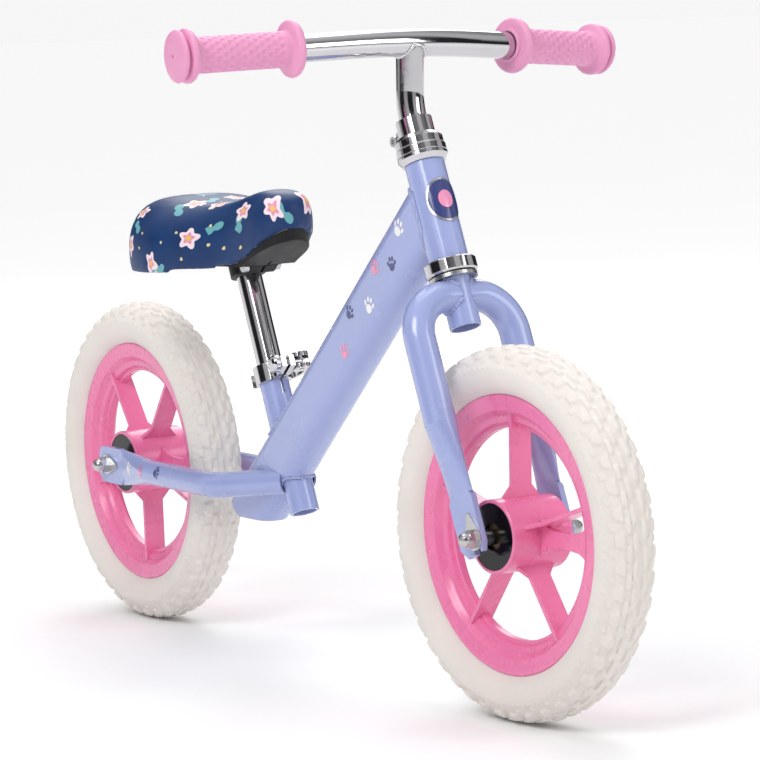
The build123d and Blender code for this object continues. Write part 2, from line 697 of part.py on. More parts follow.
with BuildPart() as seat_clamp:
    with BuildSketch(SEAT.offset(-14.0)):
        Circle(15.4)
        Circle(SEAT_TUBE_R + CLEAR, mode=Mode.SUBTRACT)
    extrude(amount=15.6)
    with BuildSketch(plane_at(SEAT, (0, 6.5, 0), x_dir=(1, 0, 0), z_dir=(0, -1, 0))):
        with BuildLine():
            Polyline((12.9, -13.0), (20.0, -12.5), (31.5, -8.5), (31.5, 1.0), (28.0, 1.6),
                     (12.9, 1.6), close=True)
        make_face()
    extrude(amount=13.0)
    # narrow lip that stops the collar on the tube's top edge
    with BuildSketch(SEAT.offset(0.05)):
        Circle(15.4)
        Circle(STEM_R + 0.45, mode=Mode.SUBTRACT)
    extrude(amount=1.55)
    with BuildSketch(plane_at(SEAT, (0, 0, -6.0), x_dir=(0, 1, 0), z_dir=(1, 0, 0))):
        Rectangle(3.0, 22.0)
    extrude(amount=40, mode=Mode.SUBTRACT)
    with BuildSketch(plane_at(SEAT, (25.0, -12, -4.0), x_dir=(1, 0, 0), z_dir=(0, 1, 0))):
        Circle(2.6)
    extrude(amount=24, mode=Mode.SUBTRACT)
seat_clamp.part.label = "seat_clamp"
export_step(seat_clamp.part, "parts/seat_clamp.step")

_qr = plane_at(SEAT, (25.0, 0, -4.0), x_dir=(1, 0, 0), z_dir=(0, 1, 0))
with BuildPart() as qr_skewer:
    with BuildSketch(_qr.offset(-12.0)):
        Circle(2.5)
    extrude(amount=12.0 + 11.0)
qr_skewer.part.label = "qr_skewer"
export_step(qr_skewer.part, "parts/qr_skewer.step")

with BuildPart() as qr_nut:
    with BuildSketch(radial(_qr)):
        with BuildLine():
            Polyline((2.55, -6.6), (6.4, -6.6), (7.6, -7.6), (7.6, -11.4), (6.4, -13.2),
                     (4.0, -14.4), (0, -14.8), (0, -12.1), (2.55, -12.1), close=True)
        make_face()
    revolve(axis=Axis(_qr.origin, _qr.z_dir))
    with BuildSketch(_qr.offset(-11.6)):
        with PolarLocations(7.9, 12):
            Circle(0.9)
    extrude(amount=4.2, mode=Mode.SUBTRACT)
qr_nut.part.label = "qr_nut"
export_step(qr_nut.part, "parts/qr_nut.step")

# cam lever: an eccentric head on a pin, and a blade that wraps round the seat tube
PIVOT = (25.0, 15.2, -4.0)
with BuildPart() as qr_lever:
    with BuildSketch(plane_at(SEAT, (0, 0, PIVOT[2] - 7.0))):
        with Locations((PIVOT[0], PIVOT[1])):
            Circle(8.0)
    extrude(amount=14.0)
    with BuildSketch(plane_at(SEAT, (0, 0, PIVOT[2] - 5.5))):
        with BuildLine() as lever_line:
            ThreePointArc((27.0, 23.3), (-4.0, 27.6), (-30.5, -4.0))
            Line((-30.5, -4.0), (-27.6, -5.4))
            ThreePointArc((-27.6, -5.4), (-4.0, 24.2), (20.5, 20.0))
            Line((20.5, 20.0), (27.0, 23.3))
        make_face()
    extrude(amount=11.0)
    # fork gap for the skewer's end, and the pin bore
    with BuildSketch(plane_at(SEAT, (PIVOT[0], 6.0, PIVOT[2]), x_dir=(1, 0, 0), z_dir=(0, 1, 0))):
        with Locations((4.2, 0)):
            Rectangle(15.4, 6.4)
    extrude(amount=20.0, mode=Mode.SUBTRACT)
    with BuildSketch(plane_at(SEAT, (0, 0, PIVOT[2] - 8.0))):
        with Locations((PIVOT[0], PIVOT[1])):
            Circle(2.55)
    extrude(amount=16.0, mode=Mode.SUBTRACT)
qr_lever.part.label = "qr_lever"
export_step(qr_lever.part, "parts/qr_lever.step")

with BuildPart() as qr_pivot_pin:
    with BuildSketch(plane_at(SEAT, (0, 0, PIVOT[2] - 7.4))):
        with Locations((PIVOT[0], PIVOT[1])):
            Circle(2.5)
    extrude(amount=14.8)
    with BuildSketch(plane_at(SEAT, (PIVOT[0], 11.1, PIVOT[2]), x_dir=(1, 0, 0), z_dir=(0, 1, 0))):
        Circle(2.5)
    extrude(amount=4.1)
qr_pivot_pin.part.label = "qr_pivot_pin"
export_step(qr_pivot_pin.part, "parts/qr_pivot_pin.step")

# ------------------------------------------------------------ saddle
# plan outline: half widths along the saddle, from the rear to the nose
PLAN = [(-233, 0), (-229, 32), (-216, 56), (-197, 70), (-176, 74.5), (-155, 72), (-130, 60),
        (-106, 45), (-84, 35.5), (-62, 31), (-45, 29.5), (-31, 24), (-22, 13), (-19, 0)]
TOP = [(-233, 362), (-228, 379), (-208, 389.5), (-178, 391), (-142, 387), (-120, 386.5),
       (-96, 389.5), (-68, 396.5), (-47, 399.5), (-29, 395), (-20, 384)]


def plan_loop(inset_rear, inset_nose):
    pts = []
    for x, w in PLAN:
        t = (x + 233.0) / 214.0
        inset = inset_rear * (1 - t) + inset_nose * t
        cx = x + inset * (1 - 2 * t)
        pts.append((cx, max(w - inset, 0.0)))
    return pts


with BuildPart() as base_space:
    _pts = plan_loop(9.5, 3.0)
    with BuildSketch(Plane.XY.offset(300)):
        with BuildLine():
            Spline(*_pts)
            Spline(*[(x, -y) for x, y in _pts])
        make_face()
    extrude(amount=110)
    with BuildSketch(Plane(origin=(0, 90, 0), x_dir=(1, 0, 0), z_dir=(0, -1, 0))):
        with BuildLine():
            Polyline((-240, 280), (-240, 350), (-110, 350), (-62, 360), (-15, 379), (-15, 280),
                     close=True)
        make_face()
    extrude(amount=180, mode=Mode.INTERSECT)

with BuildPart() as saddle_cushion:
    with BuildSketch(Plane.XY.offset(310)):
        with BuildLine():
            Spline(*PLAN)
            Spline(*[(x, -y) for x, y in PLAN])
        make_face()
    extrude(amount=110)
    with BuildSketch(Plane(origin=(0, 90, 0), x_dir=(1, 0, 0), z_dir=(0, -1, 0))):
        with BuildLine():
            _top = Spline(*TOP)
            Polyline(_top @ 1, (-18.5, 372), (-21, 367), (-46, 352), (-76, 337.5), (-112, 331.5),
                     (-160, 328), (-206, 330), (-226, 341), _top @ 0)
        make_face()
    extrude(amount=180, mode=Mode.INTERSECT)
    add(base_space.part, mode=Mode.SUBTRACT)
saddle_cushion.part.label = "saddle_cushion"
export_step(saddle_cushion.part, "parts/saddle_cushion.step")

with BuildPart() as saddle_base:
    _pts = plan_loop(10.0, 3.5)
    with BuildSketch(Plane.XY.offset(300)):
        with BuildLine():
            Spline(*_pts)
            Spline(*[(x, -y) for x, y in _pts])
        make_face()
    extrude(amount=110)
    with BuildSketch(Plane(origin=(0, 90, 0), x_dir=(1, 0, 0), z_dir=(0, -1, 0))):
        with BuildLine():
            Polyline((-240, 335.5), (-240, 349.6), (-110, 349.6), (-62, 359.6), (-15, 378.6),
                     (-15, 362.0), (-26, 355.6), (-46, 346.0), (-72, 334.0), (-150, 334.0),
                     close=True)
        make_face()
    extrude(amount=180, mode=Mode.INTERSECT)
    # moulded socket for the post, split at the front between two pinch ears
    with BuildSketch(SEAT.offset(84.0)):
        Circle(15.6)
    extrude(amount=20.0)
    with BuildSketch(Plane(origin=(0, 13.0, 0), x_dir=(1, 0, 0), z_dir=(0, -1, 0))):
        with BuildLine():
            Polyline((-103, 325), (-84, 327), (-76.5, 333), (-76.5, 339), (-103, 339), close=True)
        make_face()
    extrude(amount=26.0)
    with BuildSketch(SEAT.offset(60.0)):
        Circle(STEM_R + CLEAR)
    extrude(amount=47.5, mode=Mode.SUBTRACT)
    with BuildSketch(Plane(origin=(-105, 0, 328.0), x_dir=(0, 1, 0), z_dir=(1, 0, 0))):
        Rectangle(2.4, 24.0)
    extrude(amount=40.0, mode=Mode.SUBTRACT)
    with BuildSketch(Plane(origin=(-83.5, -20, 333.0), x_dir=(1, 0, 0), z_dir=(0, 1, 0))):
        Circle(2.6)
    extrude(amount=40.0, mode=Mode.SUBTRACT)
    # room for the bolt head and the nut
    for s in (-1.0, 1.0):
        with BuildSketch(Plane(origin=(-83.5, s * 13.0, 333.0), x_dir=(1, 0, 0), z_dir=(0, s, 0))):
            Circle(7.5)
        extrude(amount=9.0, mode=Mode.SUBTRACT)
saddle_base.part.label = "saddle_base"
export_step(saddle_base.part, "parts/saddle_base.step")

_pinch = Plane(origin=(-83.5, 0, 333.0), x_dir=(1, 0, 0), z_dir=(0, 1, 0))
with BuildPart() as saddle_bolt:
    with BuildSketch(_pinch.offset(-18.0)):
        Circle(4.6)
    extrude(amount=4.8)
    with BuildSketch(_pinch.offset(-13.4)):
        Circle(2.5)
    extrude(amount=31.6)
saddle_bolt.part.label = "saddle_bolt"
export_step(saddle_bolt.part, "parts/saddle_bolt.step")

with BuildPart() as saddle_nut:
    with BuildSketch(_pinch.offset(13.1)):
        RegularPolygon(5.2, 6)
        Circle(2.55, mode=Mode.SUBTRACT)
    extrude(amount=4.2)
saddle_nut.part.label = "saddle_nut"
export_step(saddle_nut.part, "parts/saddle_nut.step")
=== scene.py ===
import bpy
import bmesh
import json
import math
import numpy as np
from mathutils import Vector, Matrix, noise
from mathutils.bvhtree import BVHTree


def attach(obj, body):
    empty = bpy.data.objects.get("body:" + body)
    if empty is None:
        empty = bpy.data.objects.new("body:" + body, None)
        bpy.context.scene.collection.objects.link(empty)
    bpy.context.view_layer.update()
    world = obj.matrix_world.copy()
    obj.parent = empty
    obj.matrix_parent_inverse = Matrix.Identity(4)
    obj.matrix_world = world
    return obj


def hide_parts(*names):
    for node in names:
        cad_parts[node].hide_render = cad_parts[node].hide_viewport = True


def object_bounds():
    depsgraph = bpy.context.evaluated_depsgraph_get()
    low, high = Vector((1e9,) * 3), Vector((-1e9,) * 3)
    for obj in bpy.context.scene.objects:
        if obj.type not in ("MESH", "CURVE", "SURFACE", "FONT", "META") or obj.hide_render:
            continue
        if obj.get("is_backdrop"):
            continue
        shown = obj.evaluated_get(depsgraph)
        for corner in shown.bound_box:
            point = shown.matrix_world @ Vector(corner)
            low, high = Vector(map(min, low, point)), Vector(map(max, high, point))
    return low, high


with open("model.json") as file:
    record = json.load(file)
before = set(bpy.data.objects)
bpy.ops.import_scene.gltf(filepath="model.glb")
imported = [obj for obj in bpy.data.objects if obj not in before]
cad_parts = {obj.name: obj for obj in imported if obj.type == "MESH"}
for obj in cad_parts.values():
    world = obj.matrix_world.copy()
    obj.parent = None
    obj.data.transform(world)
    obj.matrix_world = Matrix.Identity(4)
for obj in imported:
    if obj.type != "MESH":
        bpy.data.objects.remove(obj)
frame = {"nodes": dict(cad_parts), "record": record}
size_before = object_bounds()
nodes = frame["nodes"]

# ---------------------------------------------------------------- frames (metres)
HA, SA, MA, ST = (math.radians(a) for a in (67.8, 68.0, 41.5, 4.2))


def frame_matrix(origin, x, z):
    x, z = Vector(x).normalized(), Vector(z).normalized()
    x = (x - z * x.dot(z)).normalized()
    y = z.cross(x)
    m = Matrix((x, y, z)).transposed().to_4x4()
    m.translation = Vector(origin)
    return m


HEAD = frame_matrix((.2173, 0, .349), (math.sin(HA), 0, math.cos(HA)), (-math.cos(HA), 0, math.sin(HA)))
STEER = HEAD @ Matrix.Rotation(ST, 4, "Z")
SEAT = frame_matrix((-.0741, 0, .246), (math.sin(SA), 0, math.cos(SA)), (-math.cos(SA), 0, math.sin(SA)))
MAIN = frame_matrix((.201, 0, .3909), (-math.sin(MA), 0, math.cos(MA)), (math.cos(MA), 0, math.sin(MA)))
REAR = frame_matrix((-.305, 0, .145), (1, 0, 0), (0, 1, 0))
_ax = STEER.to_3x3() @ Vector((0, 1, 0))
FRONT = frame_matrix(STEER @ Vector((.00405, 0, -.222)), (_ax.y, -_ax.x, 0), _ax)


def sub_frame(m, origin, x, z):
    r = m.to_3x3()
    return frame_matrix(m @ Vector(origin), r @ Vector(x), r @ Vector(z))


# ---------------------------------------------------------------- materials
def new_mat(name):
    m = bpy.data.materials.new(name)
    m.use_nodes = True
    nt = m.node_tree
    bsdf = nt.nodes["Principled BSDF"]
    return m, nt, bsdf


def node(nt, kind, **kw):
    n = nt.nodes.new(kind)
    for k, v in kw.items():
        if k.startswith("in_"):
            key = k[3:]
            n.inputs[int(key) if key.isdigit() else key.replace("_", " ")].default_value = v
        else:
            setattr(n, k, v)
    return n


def ramp(nt, fac, stops):
    r = nt.nodes.new("ShaderNodeValToRGB")
    els = r.color_ramp.elements
    while len(els) < len(stops):
        els.new(0.5)
    for e, (p, c) in zip(els, stops):
        e.position = p
        e.color = (*c, 1) if len(c) == 3 else c
    nt.links.new(fac, r.inputs[0])
    return r.outputs[0]


def coords(nt):
    return node(nt, "ShaderNodeTexCoord").outputs["Object"]


def noise_of(nt, vec, scale, detail=3.0, rough=0.5):
    n = node(nt, "ShaderNodeTexNoise", in_Scale=scale, in_Detail=detail, in_Roughness=rough)
    nt.links.new(vec, n.inputs["Vector"])
    return n.outputs[0]


def bump(nt, height, dist, strength=1.0, base=None):
    b = node(nt, "ShaderNodeBump", in_Strength=strength, in_Distance=dist)
    nt.links.new(height, b.inputs["Height"])
    if base is not None:
        nt.links.new(base, b.inputs["Normal"])
    return b.outputs[0]


def edge_round(nt, radius):
    return node(nt, "ShaderNodeBevel", samples=4, in_Radius=radius).outputs[0]


def simple(name, dark, light, rough, metallic=0.0, coat=0.0, grain=(900.0, .00004), patch=9.0,
           rough_span=0.06, bevel=.0006, spec=0.5, sss=0.0):
    """One surface with patchy colour, patchy roughness and a fine grain."""
    m, nt, b = new_mat(name)
    vec = coords(nt)
    n1 = noise_of(nt, vec, patch, 4.0, 0.55)
    nt.links.new(ramp(nt, n1, [(0.3, dark), (0.7, light)]), b.inputs["Base Color"])
    n2 = noise_of(nt, vec, patch * 6, 5.0, 0.6)
    r = node(nt, "ShaderNodeMapRange", in_1=0.3, in_2=0.7, in_3=rough - rough_span, in_4=rough + rough_span)
    nt.links.new(n2, r.inputs[0])
    nt.links.new(r.outputs[0], b.inputs["Roughness"])
    b.inputs["Metallic"].default_value = metallic
    b.inputs["Coat Weight"].default_value = coat
    b.inputs["Coat Roughness"].default_value = 0.06
    b.inputs["Specular IOR Level"].default_value = spec
    if sss:
        b.inputs["Subsurface Weight"].default_value = sss
        b.inputs["Subsurface Radius"].default_value = (.006, .004, .003)
        b.inputs["Subsurface Scale"].default_value = 1.0
    base = edge_round(nt, bevel) if bevel else None
    nt.links.new(bump(nt, noise_of(nt, vec, grain[0], 3.0), grain[1], 1.0, base), b.inputs["Normal"])
    return m


M = {
    "paint": simple("paint", (.33, .385, .68), (.35, .405, .70), .25, coat=.6, grain=(420.0, .00003), patch=5.0, bevel=.0009),
    "chrome": simple("chrome", (.56, .55, .57), (.64, .63, .65), .075, metallic=1.0, grain=(250.0, .000012), rough_span=.03, bevel=.0006),
    "steel": simple("steel", (.50, .50, .51), (.62, .62, .63), .26, metallic=1.0, grain=(1400.0, .00003), bevel=.0004),
    "pink": simple("pink", (.83, .19, .40), (.87, .215, .43), .28, coat=.2, grain=(600.0, .00003), bevel=.0012, sss=.08),
    "grip": simple("grip", (.74, .30, .50), (.78, .33, .54), .46, grain=(1500.0, .00006), bevel=.0008, sss=.08),
    "black": simple("black", (.006, .006, .007), (.011, .011, .012), .50, spec=.3, grain=(1300.0, .00012), bevel=.0008),
    "cap": simple("cap", (.002, .002, .0025), (.004, .004, .0045), .14, spec=.35, grain=(500.0, .00002), bevel=.0004),
    "brass": simple("brass", (.10, .075, .05), (.20, .15, .10), .34, metallic=1.0, grain=(1200.0, .00004), bevel=.0003),
    "foam": simple("foam", (.77, .725, .68), (.82, .775, .73), .66, grain=(1300.0, .00012), patch=14.0, bevel=.0006, sss=.15, spec=.35),
    "weld": simple("weld", (.31, .36, .61), (.34, .39, .65), .28, coat=.7, grain=(700.0, .0001), bevel=0),
    "bright_weld": simple("bright_weld", (.60, .60, .62), (.74, .74, .76), .2, metallic=1.0, grain=(900.0, .0001), bevel=0),
}


def decal_mat(name, colour):
    dark = tuple(c * 0.93 for c in colour)
    return simple(name, dark, colour, .28, coat=.5, grain=(700.0, .00002), bevel=0)


M["d_white"] = decal_mat("d_white", (.88, .88, .90))
M["d_pink"] = decal_mat("d_pink", (.85, .30, .50))
M["d_navy"] = decal_mat("d_navy", (.035, .05, .20))


def vinyl():
    """Navy vinyl with a fine grain and a print of small blossoms, leaves and dots."""
    m, nt, b = new_mat("vinyl")
    L = nt.links
    at = node(nt, "ShaderNodeAttribute", attribute_name="unrolled").outputs["Vector"]
    base = ramp(nt, noise_of(nt, at, 40.0, 4.0), [(0.3, (.005, .030, .115)), (0.7, (.008, .042, .150))])
    colour = base

    def motif(scale, seed, radius, petals, depth, tint, colour, keep):
        off = node(nt, "ShaderNodeVectorMath", operation="ADD")
        L.new(at, off.inputs[0])
        off.inputs[1].default_value = (seed, seed * 1.7, 0)
        v = node(nt, "ShaderNodeTexVoronoi", voronoi_dimensions="2D", in_Scale=scale, in_Randomness=.8)
        L.new(off.outputs[0], v.inputs["Vector"])
        d = node(nt, "ShaderNodeVectorMath", operation="SUBTRACT")
        L.new(off.outputs[0], d.inputs[0])
        L.new(v.outputs["Position"], d.inputs[1])
        sep = node(nt, "ShaderNodeSeparateXYZ")
        L.new(d.outputs[0], sep.inputs[0])
        ang = node(nt, "ShaderNodeMath", operation="ARCTAN2")
        L.new(sep.outputs[1], ang.inputs[0])
        L.new(sep.outputs[0], ang.inputs[1])
        sc = node(nt, "ShaderNodeSeparateColor")
        L.new(v.outputs["Color"], sc.inputs[0])
        turn = node(nt, "ShaderNodeMath", operation="MULTIPLY_ADD")
        L.new(ang.outputs[0], turn.inputs[0])
        turn.inputs[1].default_value = petals
        twist = node(nt, "ShaderNodeMath", operation="MULTIPLY")
        L.new(sc.outputs[0], twist.inputs[0])
        twist.inputs[1].default_value = 6.283
        L.new(twist.outputs[0], turn.inputs[2])
        cos = node(nt, "ShaderNodeMath", operation="COSINE")
        L.new(turn.outputs[0], cos.inputs[0])
        rr = node(nt, "ShaderNodeMath", operation="MULTIPLY_ADD")
        L.new(cos.outputs[0], rr.inputs[0])
        rr.inputs[1].default_value = radius * depth
        rr.inputs[2].default_value = radius
        ln = node(nt, "ShaderNodeVectorMath", operation="LENGTH")
        L.new(d.outputs[0], ln.inputs[0])
        lt = node(nt, "ShaderNodeMath", operation="LESS_THAN")
        L.new(ln.outputs["Value"], lt.inputs[0])
        L.new(rr.outputs[0], lt.inputs[1])
        on = node(nt, "ShaderNodeMath", operation="LESS_THAN")
        L.new(sc.outputs[1], on.inputs[0])
        on.inputs[1].default_value = keep
        mask = node(nt, "ShaderNodeMath", operation="MULTIPLY")
        L.new(lt.outputs[0], mask.inputs[0])
        L.new(on.outputs[0], mask.inputs[1])
        mix = node(nt, "ShaderNodeMix", data_type="RGBA")
        L.new(mask.outputs[0], mix.inputs["Factor"])
        L.new(colour, mix.inputs[6])
        mix.inputs[7].default_value = (*tint, 1)
        return mix.outputs[2]

    colour = motif(27.0, 4.3, .0062, 2.0, .62, (.14, .40, .44), colour, .60)
    colour = motif(24.0, 0.0, .0092, 5.0, .22, (.88, .72, .76), colour, .85)
    colour = motif(24.0, 0.0, .0050, 5.0, .25, (.74, .28, .42), colour, .85)
    colour = motif(24.0, 0.0, .0026, 5.0, .10, (.80, .52, .10), colour, .85)
    colour = motif(50.0, 9.1, .0015, 3.0, .10, (.70, .62, .30), colour, .35)
    L.new(colour, b.inputs["Base Color"])
    b.inputs["Roughness"].default_value = .40
    b.inputs["Specular IOR Level"].default_value = .35
    v = node(nt, "ShaderNodeTexVoronoi", feature="DISTANCE_TO_EDGE", in_Scale=900.0)
    L.new(coords(nt), v.inputs["Vector"])
    L.new(bump(nt, v.outputs["Distance"], .00012, .7), b.inputs["Normal"])
    return m


M["vinyl"] = vinyl()


def give(obj, mat):
    obj.data.materials.clear()
    obj.data.materials.append(mat)


slot_of = {s["node"]: s["material_slot"] for s in frame["record"]["subparts"]}
for name, obj in nodes.items():
    give(obj, M[slot_of[name]])
    obj.data.set_sharp_from_angle(angle=math.radians(32))


# ---------------------------------------------------------------- mesh helpers
def make(name, verts, faces, mat, body, matrix=None, angle=40.0):
    me = bpy.data.meshes.new(name)
    if matrix is not None:
        verts = [matrix @ Vector(v) for v in verts]
    me.from_pydata([tuple(v) for v in verts], [], faces)
    me.update()
    bm = bmesh.new()
    bm.from_mesh(me)
    bmesh.ops.recalc_face_normals(bm, faces=bm.faces)
    bm.to_mesh(me)
    bm.free()
    for p in me.polygons:
        p.use_smooth = True
    me.set_sharp_from_angle(angle=math.radians(angle))
    ob = bpy.data.objects.new(name, me)
    bpy.context.scene.collection.objects.link(ob)
    give(ob, mat)
    if body:
        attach(ob, body)
    return ob


def dense(points, step):
    """Points along a polyline, closer together than step, keeping the corners."""
    out = []
    for a, b in zip(points, points[1:]):
        n = max(1, int(math.ceil(math.dist(a, b) / step)))
        out += [tuple(a[i] + (b[i] - a[i]) * k / n for i in range(2)) for k in range(n)]
    out.append(tuple(points[-1]))
    return out


def lathe(name, profile, count, mat, body, matrix, displace=None, closed=True, angle=40.0):
    """A profile of (radius, height) turned about the frame's z. displace(theta, k, r, z) -> (r, z)."""
    verts, faces = [], []
    n = len(profile)
    for i in range(count):
        t = 2 * math.pi * i / count
        c, s = math.cos(t), math.sin(t)
        for k, (r, z) in enumerate(profile):
            if displace:
                r, z = displace(t, k, r, z)
            verts.append((r * c, r * s, z))
    for i in range(count):
        j = (i + 1) % count
        for k in range(n if closed else n - 1):
            l = (k + 1) % n
            faces.append((i * n + k, j * n + k, j * n + l, i * n + l))
    return make(name, verts, faces, mat, body, matrix, angle)


def catmull(points, per, closed=False):
    pts = [Vector(p) for p in points]
    n = len(pts)
    out = []
    for i in range(n if closed else n - 1):
        p = [pts[(i + d) % n] if closed else pts[min(max(i + d, 0), n - 1)] for d in (-1, 0, 1, 2)]
        for k in range(per):
            t = k / per
            out.append(0.5 * ((2 * p[1]) + (p[2] - p[0]) * t + (2 * p[0] - 5 * p[1] + 4 * p[2] - p[3]) * t * t
                              + (3 * p[1] - p[0] - 3 * p[2] + p[3]) * t ** 3))
    if not closed:
        out.append(pts[-1])
    return out


# ---------------------------------------------------------------- tyres
PITCHES = 44


def smooth(e0, e1, x):
    t = min(max((x - e0) / (e1 - e0), 0.0), 1.0)
    return t * t * (3 - 2 * t)


def pad(u, v, cu, cv, hu, hv, soft=.35):
    """1 inside a rounded block centred on (cu, cv), 0 outside."""
    du = (u - cu + .5) % 1.0 - .5
    a = 1 - smooth(hu - soft * hu, hu + soft * hu * .4, abs(du))
    b = 1 - smooth(hv - soft * hv, hv + soft * hv * .4, abs(v - cv))
    return a * b


def tread(u, v, side):
    """Height in millimetres of the tread. u counts pitches, v is the distance from the crown."""
    h = 0.0
    # big shoulder knobs with cut corners, small blocks inboard of them, centre bars
    w = u + (.0 if side > 0 else .5)
    h = max(h, pad(w, v, .0, 17.5, .33 - .10 * smooth(16, 21, v), 4.6) * 1.5)
    h = max(h, pad(w, v, .5, 23.8, .16, 2.6) * .9)
    h = max(h, pad(w, v, .5, 10.4, .30, 2.5) * 1.4)
    h = max(h, pad(w * 1.0, v, .08, 4.6, .36, 2.4) * 1.5)
    # ring of small ticks on the shoulder
    h = max(h, pad(w * 3.0, v, .0, 30.4, .18, 1.7) * .55)
    return h


def tyre(name, wheel, body, replaces_node):
    # rounded half section, (radius, y) in mm, crown first
    key = [(145.0, 0), (144.9, 4.5), (144.3, 8.6), (142.6, 13.2), (139.4, 17.4), (135.2, 20.6), (130.2, 22.7),
           (125.0, 23.5), (119.4, 22.6), (113.6, 19.8), (109.2, 15.9)]
    half = [tuple(p)[:2] for p in catmull([(a, b, 0) for a, b in key], 8)]
    dist = [0.0]
    for a, b in zip(half, half[1:]):
        dist.append(dist[-1] + math.dist(a, b))
    side = half + [(107.75, 12.2), (98.0, 8.5)]
    dside = dist + [99.0, 99.0]
    profile = [(r, -y) for r, y in reversed(side)] + side[1:]
    pd = [-d for d in reversed(dside)] + dside[1:]
    prof = [(r / 1000, y / 1000) for r, y in profile]

    def shape(t, k, r, z):
        u = t * PITCHES / (2 * math.pi)
        v = abs(pd[k])
        if v > 90:
            return r, z
        h = tread(u, v, 1 if pd[k] >= 0 else -1)
        drop = 1.35 * (1.5 * (1 - smooth(22.0, 33.0, v)) - h)
        rc, zc = .124, 0.0
        dr, dz = r - rc, z - zc
        l = math.hypot(dr, dz) or 1.0
        return r - dr / l * drop / 1000, z - dz / l * drop / 1000

    ob = lathe(name, prof, PITCHES * 18, M["foam"], body, wheel, shape, angle=60.0)
    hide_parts(replaces_node)
    return ob


tyre("tyre_rear", REAR, "rear_wheel", "rear_tyre")
tyre("tyre_front", FRONT, "front_wheel", "front_tyre")

# ---------------------------------------------------------------- grips
SW = math.radians(7.0)
BAR_X = .0209
ARC_DROP = .064 / math.sin(SW) * (1 - math.cos(SW))
for side, s in (("right", -1.0), ("left", 1.0)):
    gx = BAR_X - ARC_DROP - (.101 - .064) * math.tan(SW)
    G = sub_frame(STEER, (gx, s * .101, .1765), (0, 0, 1), (-math.sin(SW), s * math.cos(SW), 0))
    prof = [(11.05, 2.0), (11.15, .2), (12.6, 0), (13.4, .3), (13.8, 1.1), (13.9, 2.2), (16.4, 2.5), (19.4, 2.8), (21.3, 3.8), (22.3, 5.5),
            (22.4, 7.2), (21.7, 9.0), (19.8, 10.3), (16.4, 11.0), (14.9, 11.9), (14.3, 13.2)]
    body_pts = [(14.2 - .1 * math.sin(k / 76 * math.pi), 13.2 + k) for k in range(1, 77)]
    prof += body_pts + [(14.9, 91.0), (17.6, 92.0), (19.9, 93.2), (21.0, 95.0), (21.0, 96.8), (20.2, 98.4),
                        (18.2, 99.3), (15.2, 99.8), (14.9, 100.4), (15.2, 101.0), (18.2, 101.4), (19.9, 102.5),
                        (20.3, 103.9), (19.4, 105.4), (16.4, 106.5), (11.5, 107.2), (6.0, 107.5), (1.6, 107.5),
                        (1.3, 106.0), (.05, 105.8)]

    def dimples(t, k, r, z):
        # rows of short shallow pockets in the body
        zz = z * 1000
        if 17.0 < zz < 88.0:
            row = (zz - 17.0) / 5.4
            i = int(row)
            a = t * 14 / (2 * math.pi) + (.5 if i % 2 else 0)
            da = abs((a + .5) % 1 - .5)
            dz = abs(row - i - .5)
            d = (1 - smooth(.20, .33, da)) * (1 - smooth(.24, .40, dz))
            return r - .0009 * d, z
        return r, z

    g = lathe(f"grip_body_{side}", [(r / 1000, z / 1000) for r, z in prof], 168, M["grip"], "bars", G, dimples,
              closed=False, angle=55.0)
    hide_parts(f"grip_{side}")

# ---------------------------------------------------------------- saddle
PLAN = [(-233, 0), (-229, 32), (-216, 56), (-197, 70), (-176, 74.5), (-155, 72), (-130, 60), (-106, 45),
        (-84, 35.5), (-62, 31), (-45, 29.5), (-31, 24), (-22, 13), (-19, 0)]
TOP = [(-233, 366), (-228, 379), (-208, 389.5), (-178, 391.5), (-142, 387), (-120, 386.5), (-96, 389.5),
       (-68, 396.5), (-47, 399.5), (-29, 396), (-19, 388)]
LOW = [(-233, 345), (-226, 341), (-206, 330), (-160, 328), (-112, 331.5), (-76, 337.5), (-46, 352), (-21, 367), (-19, 370)]


def curve_at(curve, x):
    xs = [p[0] for p in curve]
    return float(np.interp(x, xs, [p[1] for p in curve]))


plan_fine = [p for p in catmull([(a, b, 0) for a, b in PLAN], 12)]
top_fine = [p for p in catmull([(a, b, 0) for a, b in TOP], 12)]
low_fine = [p for p in catmull([(a, b, 0) for a, b in LOW], 12)]
P_, T_, B_ = ([(p.x, p.y) for p in c] for c in (plan_fine, top_fine, low_fine))


